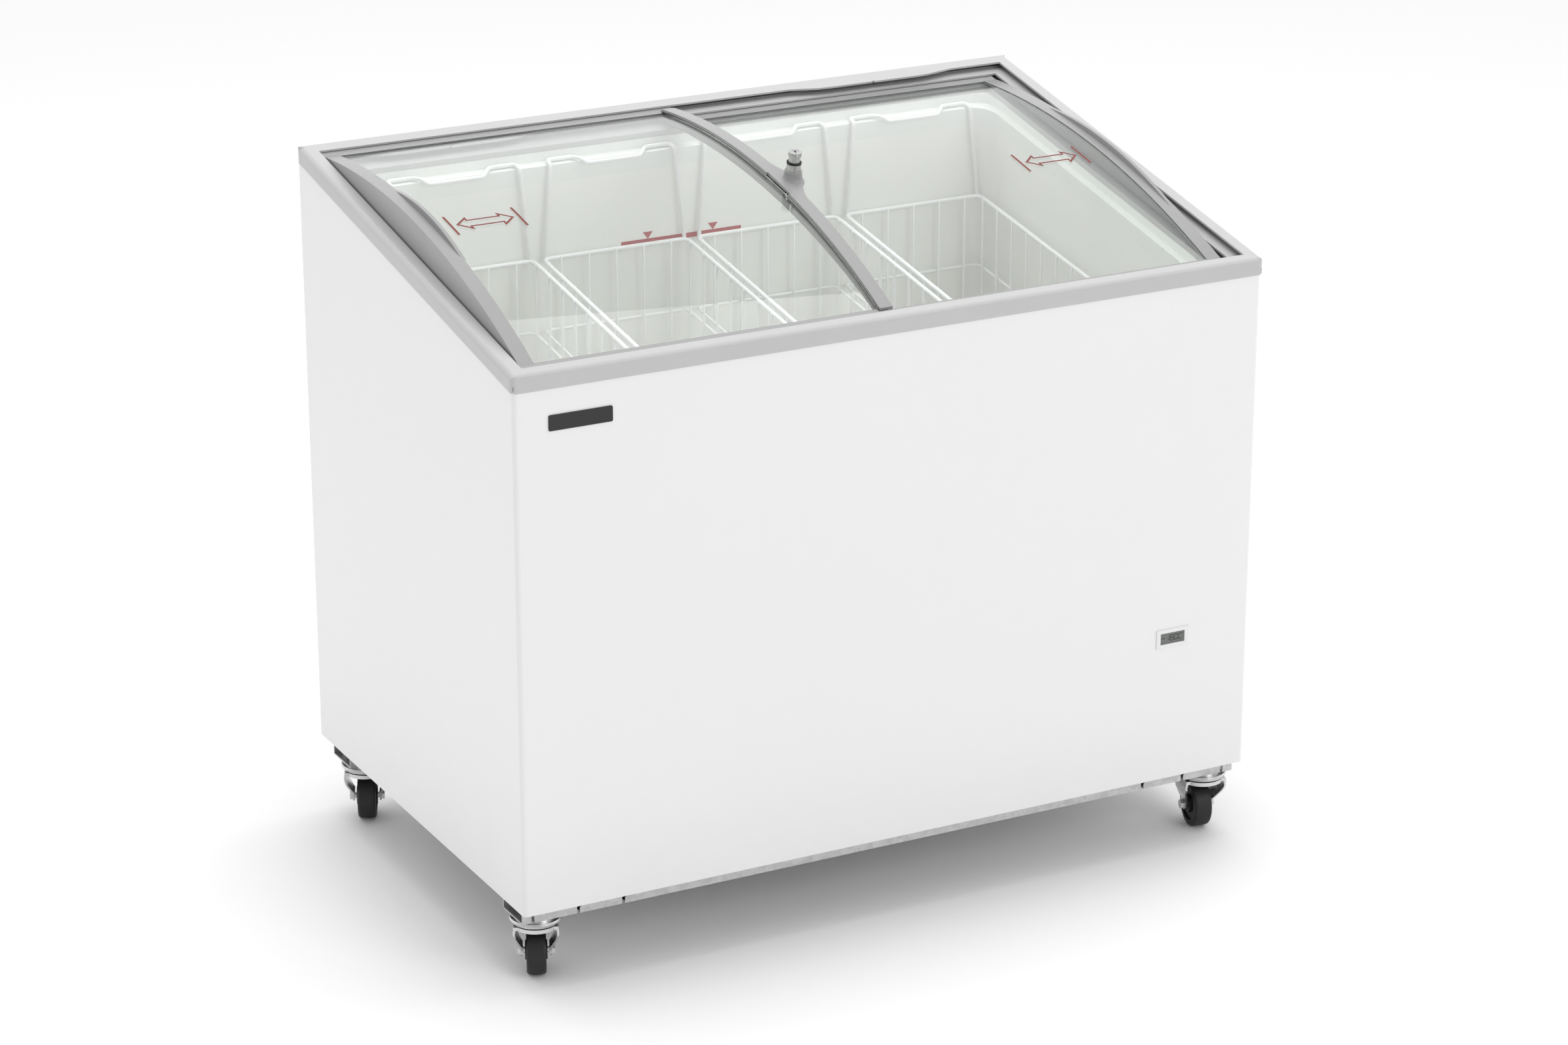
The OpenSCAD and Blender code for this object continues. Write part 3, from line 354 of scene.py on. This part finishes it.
def tube(path, radius, sides=12):
    # circle of given radius carried along a path: centre + radius (cos t * side + sin t * up),
    # with both ends closed by domes
    path = np.asarray(path, float)
    ahead = np.gradient(path, axis=0)
    ahead /= np.linalg.norm(ahead, axis=1)[:, None]
    helper = np.where(np.abs(ahead[:, 2:3]) > 0.9, [[0.0, 1.0, 0.0]], [[0.0, 0.0, 1.0]])
    helper = np.broadcast_to(helper[0], path.shape) if np.ptp(np.abs(ahead[:, 2])) < 0.3 else helper
    side = np.cross(ahead, helper)
    side /= np.linalg.norm(side, axis=1)[:, None]
    for k in range(1, len(path)):  # carry the first side along the path, so that it never twists
        s = side[k - 1] - ahead[k] * (side[k - 1] @ ahead[k])
        side[k] = s / np.linalg.norm(s)
    up = np.cross(side, ahead)
    t = np.linspace(0, 2 * np.pi, sides, endpoint=False)
    ring = np.cos(t)[None, :, None] * side[:, None, :] + np.sin(t)[None, :, None] * up[:, None, :]
    body = path[:, None, :] + radius * ring
    first = path[0] + radius * 0.6 * ring[0] - ahead[0] * radius * 0.7
    last = path[-1] + radius * 0.6 * ring[-1] + ahead[-1] * radius * 0.7
    body = np.concatenate([first[None], body, last[None]])
    n = body.shape[0] * sides
    tips = np.stack([path[0] - ahead[0] * radius, path[-1] + ahead[-1] * radius])
    points = np.concatenate([body.reshape(-1, 3), tips])
    faces = gridFaces(body.shape[0], sides)
    a = np.arange(sides)
    b = (a + 1) % sides
    faces += np.stack([b, a, np.full(sides, n)], -1).tolist()
    faces += np.stack([a + n - sides, b + n - sides, np.full(sides, n + 1)], -1).tolist()
    return points, faces


def joined(parts):
    points, faces, count = [], [], 0
    for p, f in parts:
        points.append(p)
        faces += [[k + count for k in face] for face in f]
        count += len(p)
    return np.concatenate(points), faces


def rounded(points, radius, steps=5):
    # corners of a line of points turned into arcs: a quadratic curve between two cut-backs at each corner
    points = [np.asarray(p, float) for p in points]
    out = [points[0]]
    for a, b, c in zip(points, points[1:], points[2:]):
        ab, cb = a - b, c - b
        cut = min(radius, np.linalg.norm(ab) * 0.45, np.linalg.norm(cb) * 0.45)
        p0, p2 = b + ab / np.linalg.norm(ab) * cut, b + cb / np.linalg.norm(cb) * cut
        for t in np.linspace(0, 1, steps + 1):
            out.append((1 - t) ** 2 * p0 + 2 * t * (1 - t) * b + t * t * p2)
    out.append(points[-1])
    return np.array(out)


print("stage 2: baskets")
basket = {"width": 0.211, "length": 0.49, "depth": 0.19, "tilt": math.radians(8.5), "pitch": 0.219,
          "rimHeight": 0.692, "rimWire": 0.006, "hoopWire": 0.004, "thinWire": 0.003, "hangerWire": 0.0055,
          "corner": 0.012, "thinCorner": 0.006, "crossPitch": 0.038, "longPitch": 0.039}
# a hanger loop goes from the rim over the collar's ledge, and dips in the middle as a grip
hangerX = {"rim": 0.099, "inner": 0.088, "outer": 0.087, "shoulder": 0.052, "middle": 0.044, "grip": 0.038}
hanger = {"corner": 0.011, "rimDrop": 0.001, "gripDrop": 0.006, "gripInset": 0.002}
hangers = [
    {"inward": -1, "yOut": 0.259, "yIn": 0.245, "zTop": 0.852, "zIn": 0.8506, "zRim": 0.729,
     "yMiddle": 0.2475, "zMiddle": 0.8516},
    {"inward": 1, "yOut": -0.258, "yIn": -0.2488, "zTop": 0.7556, "zIn": 0.7574, "zRim": 0.656,
     "yMiddle": -0.2495, "zMiddle": 0.757}]


def basketPoint(centre, x, y, z):
    return [centre + x, y, basket["rimHeight"] + y * math.tan(basket["tilt"]) + z]


def wireDip(reach, rise):
    # a wire that hangs from both sides of the rim down to the basket's bottom: (distance across, height)
    low, high = rise - basket["depth"], 0.001
    return [(-reach, high), (-reach, low), (reach, low), (reach, high)]


def basketWires(centre):
    parts = []
    hw, hl = basket["width"] / 2 - 0.003, basket["length"] / 2 - 0.0027
    r = basket["corner"]
    for z, wire in ((0, "rimWire"), (-basket["depth"] * 0.5, "hoopWire"), (-basket["depth"], "hoopWire")):
        corners = [(0, -hl), (hw, -hl), (hw, hl), (-hw, hl), (-hw, -hl), (0, -hl)]
        loop = rounded([basketPoint(centre, x, y, z) for x, y in corners], r)
        parts.append(tube(loop, basket[wire] / 2, 10))
    thin = basket["thinWire"] / 2
    inset = thin + 0.0012
    # the wires across lie 2 mm above the bottom hoop, those along lie on top of them
    for i in range(-6, 7):
        y = i * basket["crossPitch"]
        u = wireDip(hw - inset, 0.002)
        line = rounded([basketPoint(centre, x, y, z) for x, z in u], basket["thinCorner"], 4)
        parts.append(tube(line, thin, 8))
    for i in range(-2, 3):
        x = i * basket["longPitch"]
        u = wireDip(hl - inset, 0.004)
        line = rounded([basketPoint(centre, x, y, z) for y, z in u], basket["thinCorner"], 4)
        parts.append(tube(line, thin, 8))
    for h in hangers:
        half = [[hangerX["rim"], -h["inward"] * hl, h["zRim"] - hanger["rimDrop"]],
                [hangerX["inner"], h["yIn"], h["zIn"]],
                [hangerX["outer"], h["yOut"], h["zTop"]],
                [hangerX["shoulder"], h["yOut"], h["zTop"]],
                [hangerX["middle"], h["yMiddle"], h["zMiddle"]],
                [hangerX["grip"], h["yIn"] + h["inward"] * hanger["gripInset"],
                 h["zTop"] - hanger["gripDrop"]]]
        line = [[-x, y, z] for x, y, z in half] + half[::-1]
        path = rounded([[centre + x, y, z] for x, y, z in line], hanger["corner"], 5)
        parts.append(tube(path, basket["hangerWire"] / 2, 10))
    return joined(parts)


for i in (1, 2, 3, 4):
    points, faces = basketWires((i - 2.5) * basket["pitch"])
    piece = makePiece(f"wireBasket{i}", points, faces, wireWhite, f"basket_{i}")
    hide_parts(f"basket_{i}")

print("stage 3: readout")
readout = {"centre": (0.3935, 0.2961), "face": -0.3181, "proud": 0.00022, "height": 0.0072,
           "width": 0.0041, "stroke": 0.0008, "spacing": 0.0062, "lean": 0.09}


def readoutBars():
    # bars of the digits in units of one digit: (x, z, half length along x, half length along z)
    w, h, k = readout["width"] / 2, readout["height"] / 2, readout["stroke"] / 2
    bars = {"a": (0, h, w, k), "g": (0, 0, w, k), "d": (0, -h, w, k), "f": (-w, h / 2, k, h / 2 - k),
            "b": (w, h / 2, k, h / 2 - k), "e": (-w, -h / 2, k, h / 2 - k), "c": (w, -h / 2, k, h / 2 - k)}
    lit = [(-2, "g"), (-1, "bc"), (0, "abcdefg"), (1, "abcdef"), (2, "aefd")]
    rows = [(bars[s][0] + place * readout["spacing"], *bars[s][1:]) for place, letters in lit for s in letters]
    rows.append((readout["spacing"] * 0.52, -h, k, k))
    return np.array(rows)


def readoutPiece():
    # each bar is a thin box: its centre plus or minus its half sizes, leaning by x += lean * z
    bars = readoutBars()
    sx = np.array([-1, 1, 1, -1, -1, 1, 1, -1])
    sz = np.array([-1, -1, 1, 1, -1, -1, 1, 1])
    sy = np.array([0, 0, 0, 0, 1, 1, 1, 1])
    x = bars[:, 0:1] + sx * bars[:, 2:3]
    z = bars[:, 1:2] + sz * bars[:, 3:4]
    y = np.broadcast_to(readout["face"] - sy * readout["proud"] + 0.00005, x.shape)
    middleX, middleZ = readout["centre"]
    points = np.stack([middleX + x + readout["lean"] * z, y, middleZ + z], -1).reshape(-1, 3)
    cube = np.array([[0, 3, 2, 1], [4, 5, 6, 7],
                     [0, 1, 5, 4], [1, 2, 6, 5], [2, 3, 7, 6], [3, 0, 4, 7]])
    faces = (cube[None] + 8 * np.arange(len(bars))[:, None, None]).reshape(-1, 4).tolist()
    return makePiece("readoutSegments", points, faces, segmentInk, "cabinet", smooth=False)


readoutPiece()

print("stage 4: floor, lights and camera")


def stageFloor():
    mesh = bpy.data.meshes.new("floor")
    r = 30.0
    mesh.from_pydata([(-r, -r, 0), (r, -r, 0), (r, r, 0), (-r, r, 0)], [], [(0, 1, 2, 3)])
    floor = bpy.data.objects.new("floor", mesh)
    bpy.context.scene.collection.objects.link(floor)
    p = Paint("floorPale")
    mesh.materials.append(p.finish({"Base Color": grey(0.95), "Roughness": p.noise(4.0) * 0.05 + 0.7}))


def areaLight(name, place, aim, size, power):
    data = bpy.data.lights.new(name, "AREA")
    data.shape, data.size, data.size_y = "RECTANGLE", size[0], size[1]
    data.energy = power
    light = bpy.data.objects.new(name, data)
    bpy.context.scene.collection.objects.link(light)
    light.location = place
    light.rotation_mode = "QUATERNION"
    light.rotation_quaternion = (Vector(aim) - Vector(place)).to_track_quat("-Z", "Y")
    return light


stageFloor()
areaLight("keySoftbox", (1.6, -5.0, 3.0), (0, 0, 0.5), (2.2, 1.8), 46)
areaLight("topSoftbox", (0.2, 0.4, 4.0), (0, 0, 0.7), (3.2, 2.4), 56).visible_glossy = False

world = bpy.data.worlds.new("studio")
bpy.context.scene.world = world
world.use_nodes = True
backdrop = world.node_tree.nodes["Background"]
backdrop.inputs["Color"].default_value = (1.0, 1.0, 1.0, 1.0)
# white sweep at the rear and right, a dimmer studio towards the front and left:
# the strength follows y + lean * x of the direction
studio = {"lean": 0.55, "From Min": -0.75, "From Max": 0.1, "To Min": 0.6, "To Max": 1.1}
aim = world.node_tree.nodes.new("ShaderNodeTexCoord")
split = world.node_tree.nodes.new("ShaderNodeSeparateXYZ")
fade = world.node_tree.nodes.new("ShaderNodeMapRange")
lean = world.node_tree.nodes.new("ShaderNodeMath")
lean.operation = "MULTIPLY_ADD"
lean.inputs[1].default_value = studio["lean"]
for key in ("From Min", "From Max", "To Min", "To Max"):
    fade.inputs[key].default_value = studio[key]
world.node_tree.links.new(aim.outputs["Generated"], split.inputs[0])
world.node_tree.links.new(split.outputs["X"], lean.inputs[0])
world.node_tree.links.new(split.outputs["Y"], lean.inputs[2])
world.node_tree.links.new(lean.outputs[0], fade.inputs["Value"])
world.node_tree.links.new(fade.outputs["Result"], backdrop.inputs["Strength"])
bpy.context.scene.view_settings.view_transform = "Standard"
bpy.context.scene.view_settings.look = "None"

# the lens is given as a focal length and a picture width in the same units
view = {"place": (-2.42130, -4.60731, 2.30780), "yaw": 27.8006, "pitch": 19.9894,
        "focal": 6525.52, "wide": 2353, "sensor": 36.0}
cameraData = bpy.data.cameras.new("camera")
cameraData.sensor_width = view["sensor"]
cameraData.lens = view["sensor"] * view["focal"] / view["wide"]
cameraData.clip_end = 100.0
camera = bpy.data.objects.new("camera", cameraData)
bpy.context.scene.collection.objects.link(camera)
camera.location = view["place"]
camera.rotation_euler = (math.radians(90 - view["pitch"]), 0, -math.radians(view["yaw"]))
bpy.context.scene.camera = camera
